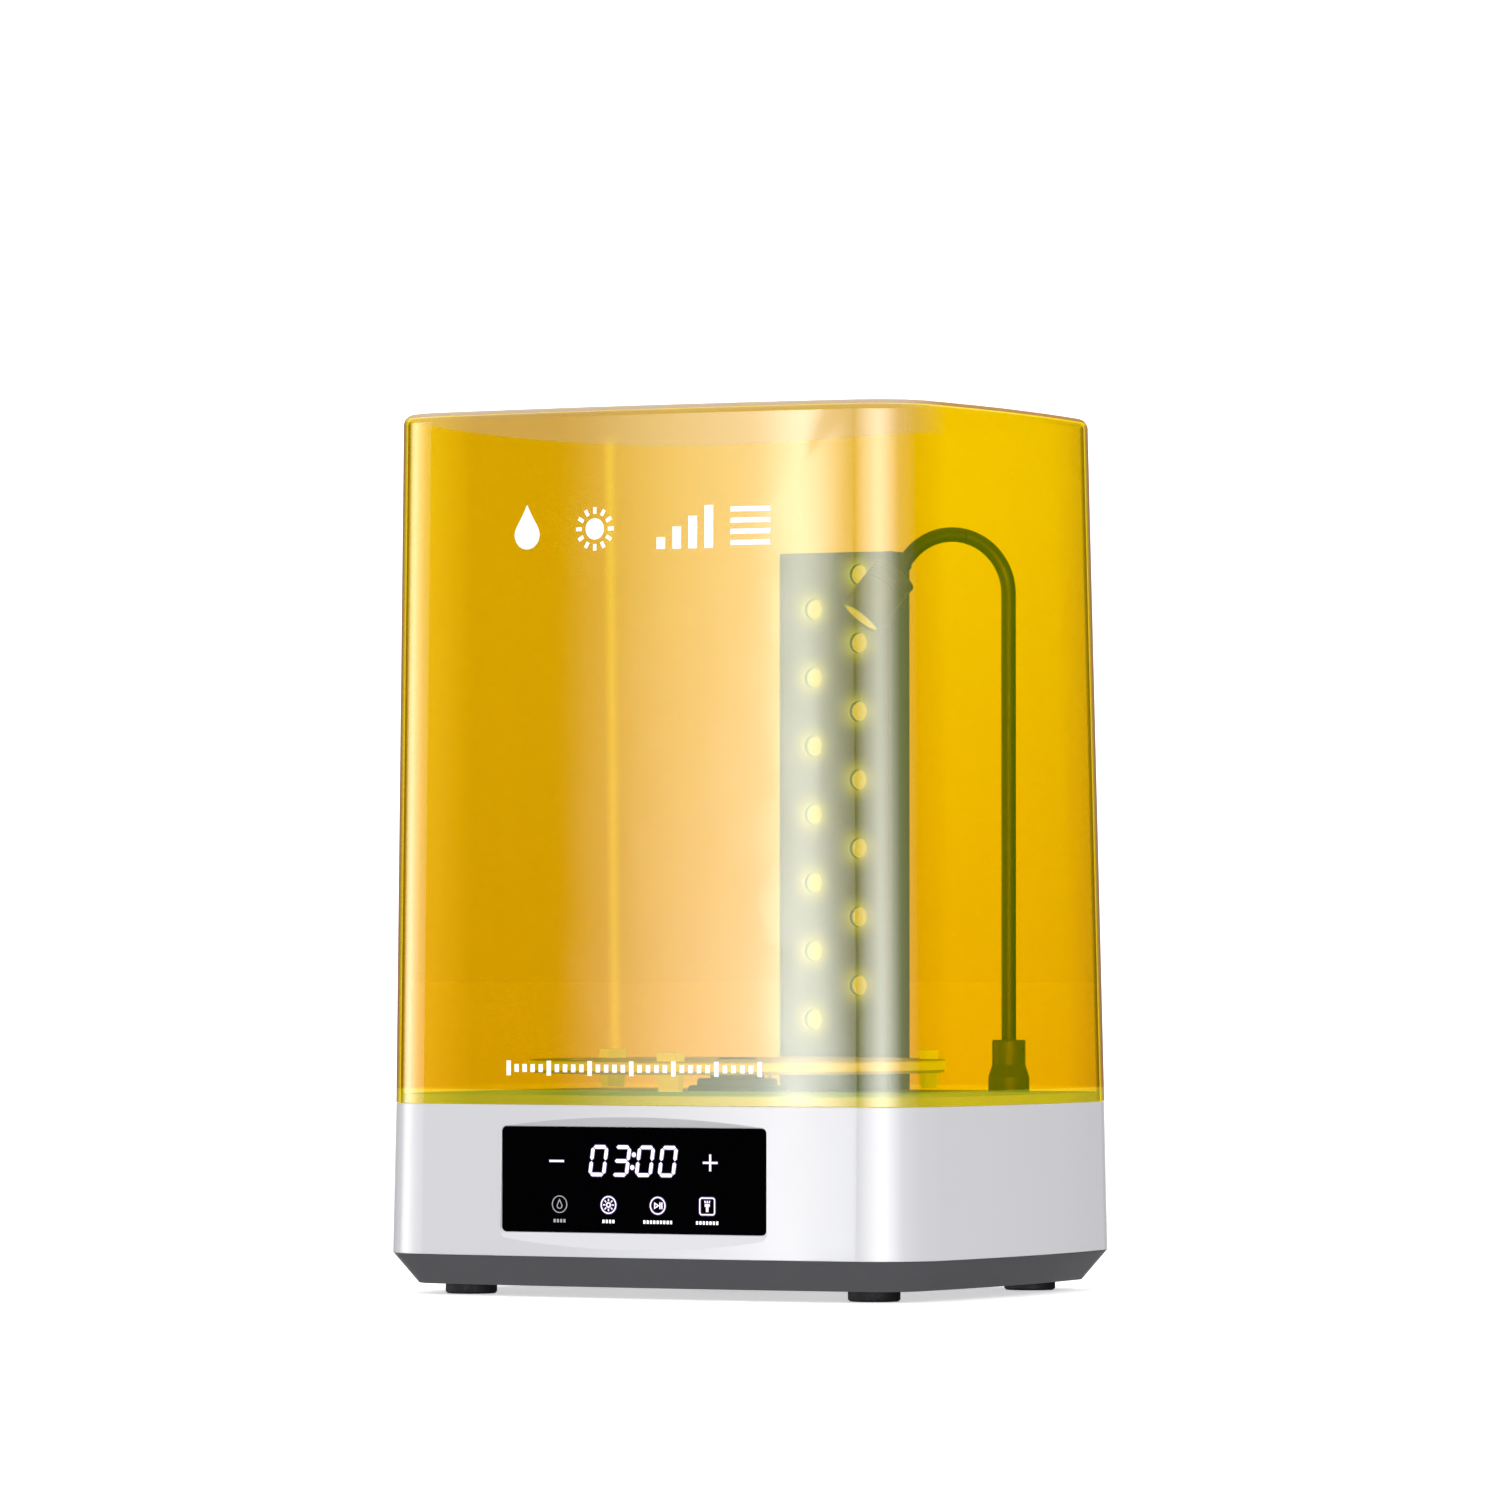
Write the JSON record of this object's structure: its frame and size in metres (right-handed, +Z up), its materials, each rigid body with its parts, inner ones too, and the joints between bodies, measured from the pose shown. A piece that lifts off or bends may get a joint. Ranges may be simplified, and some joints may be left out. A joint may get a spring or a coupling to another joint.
{
  "type": "resin wash and cure station",
  "caption": "Desktop wash and cure station: lift-off amber cover over a magnetically driven turntable, an upright LED bar and a gooseneck lamp, on a base with a touch panel",
  "frame": {"origin": "on the floor, under the middle of the base", "axes": "+Z up, -Y the side with the touch panel, +X to the right when facing the panel"},
  "size_m": [0.324, 0.262, 0.45],
  "materials": {
    "amber": "amber tint, gloss",
    "bar_grey": "satin",
    "black_plastic": "fine matte",
    "black_rubber": "matte",
    "brass": "turned",
    "bronze": "sintered",
    "cable_black": "satin",
    "circuit_board": "satin solder mask",
    "deck_plastic": "satin",
    "gooseneck_black": "satin sleeve",
    "grey_plastic": "satin",
    "lamp_black": "satin",
    "led_lens": "clear dome",
    "lit_symbols": "self-lit white",
    "magnet": "nickel plated",
    "panel_glass": "gloss black",
    "steel": "brushed",
    "switch_black": "gloss",
    "white_plastic": "smooth gloss",
    "white_table": "satin gloss",
    "zinc": "zinc plated"
  },
  "bodies": {
    "base": {"bar_screws": "steel", "base_shell": "white_plastic", "board_parts": "black_plastic", "board_screws": "steel", "bottom_pan": "grey_plastic", "control_board": "circuit_board", "cover_sensor_board": "circuit_board", "dc_jack": "black_plastic", "deck_plate": "deck_plastic", "deck_seal": "black_rubber", "digit_display": "lit_symbols", "digit_module": "black_plastic", "display_board": "circuit_board", "gearbox_case": "zinc", "inlet_lead": "cable_black", "jack_pin": "brass", "key_symbols": "lit_symbols", "led_board": "circuit_board", "led_modules": "led_lens", "leg_screws": "steel", "light_bar_cable": "cable_black", "light_bar_cap": "bar_grey", "light_bar_foot": "black_plastic", "light_bar_front": "bar_grey", "light_bar_housing": "bar_grey", "motor_bracket": "grey_plastic", "motor_cable": "cable_black", "motor_can": "steel", "motor_screws": "steel", "neck_boot": "lamp_black", "neck_nut": "brass", "pan_screws": "steel", "panel_cable": "cable_black", "panel_screws": "steel", "rubber_feet": "black_rubber", "switch_housing": "black_plastic", "switch_lead": "cable_black", "touch_panel_glass": "panel_glass"},
    "cover": {"cover_shell": "amber", "cover_magnet": "magnet"},
    "turntable_stand": {"turntable_base": "black_plastic"},
    "turntable": {"turntable_hub": "black_plastic", "hub_bushing": "bronze", "driven_magnets": "magnet", "turntable_plate": "white_table", "table_posts": "white_table"},
    "rotor": {"motor_shaft": "steel", "magnet_carrier": "black_plastic", "drive_magnets": "magnet"},
    "power_switch": {"switch_rocker": "switch_black"},
    "gooseneck_stem": {"neck_stem": "gooseneck_black"},
    "gooseneck_arch": {"neck_arch": "gooseneck_black"},
    "lamp": {"lamp_sleeve": "gooseneck_black", "lamp_head": "lamp_black", "lamp_lens": "led_lens", "lamp_led": "circuit_board"}
  },
  "joints": [
    {"name": "cover_lift", "type": "slide", "parent": "base", "child": "cover", "axis": [0, 0, 1], "range_m": [0, 0.36]},
    {"name": "turntable_lift", "type": "slide", "parent": "base", "child": "turntable_stand", "axis": [0, 0, 1], "range_m": [0, 0.03]},
    {"name": "turntable_spin", "type": "hinge", "parent": "turntable_stand", "child": "turntable", "pos_m": [0, -0.016, 0.11], "axis": [0, 0, 1], "continuous": true},
    {"name": "motor_spin", "type": "hinge", "parent": "base", "child": "rotor", "pos_m": [0, -0.016, 0.08], "axis": [0, 0, 1], "continuous": true},
    {"name": "switch_rock", "type": "hinge", "parent": "base", "child": "power_switch", "pos_m": [-0.02, 0.1255, 0.044], "axis": [0, 0, 1], "range_deg": [-18, 0]},
    {"name": "neck_swing", "type": "hinge", "parent": "base", "child": "gooseneck_stem", "pos_m": [0.1055, 0.085, 0.11], "axis": [0, 0, 1], "range_deg": [-30, 55]},
    {"name": "neck_bend", "type": "hinge", "parent": "gooseneck_stem", "child": "gooseneck_arch", "pos_m": [0.1055, 0.085, 0.3603], "axis": [0.7071, -0.7071, 0], "range_deg": [-20, 20]},
    {"name": "head_tilt", "type": "hinge", "parent": "gooseneck_arch", "child": "lamp", "pos_m": [0.06735, 0.04685, 0.37951], "axis": [0.7071, -0.7071, 0], "range_deg": [-20, 20]}
  ],
  "couplings": [
    {"joint": "motor_spin", "follows": "turntable_spin", "ratio": 1}
  ]
}
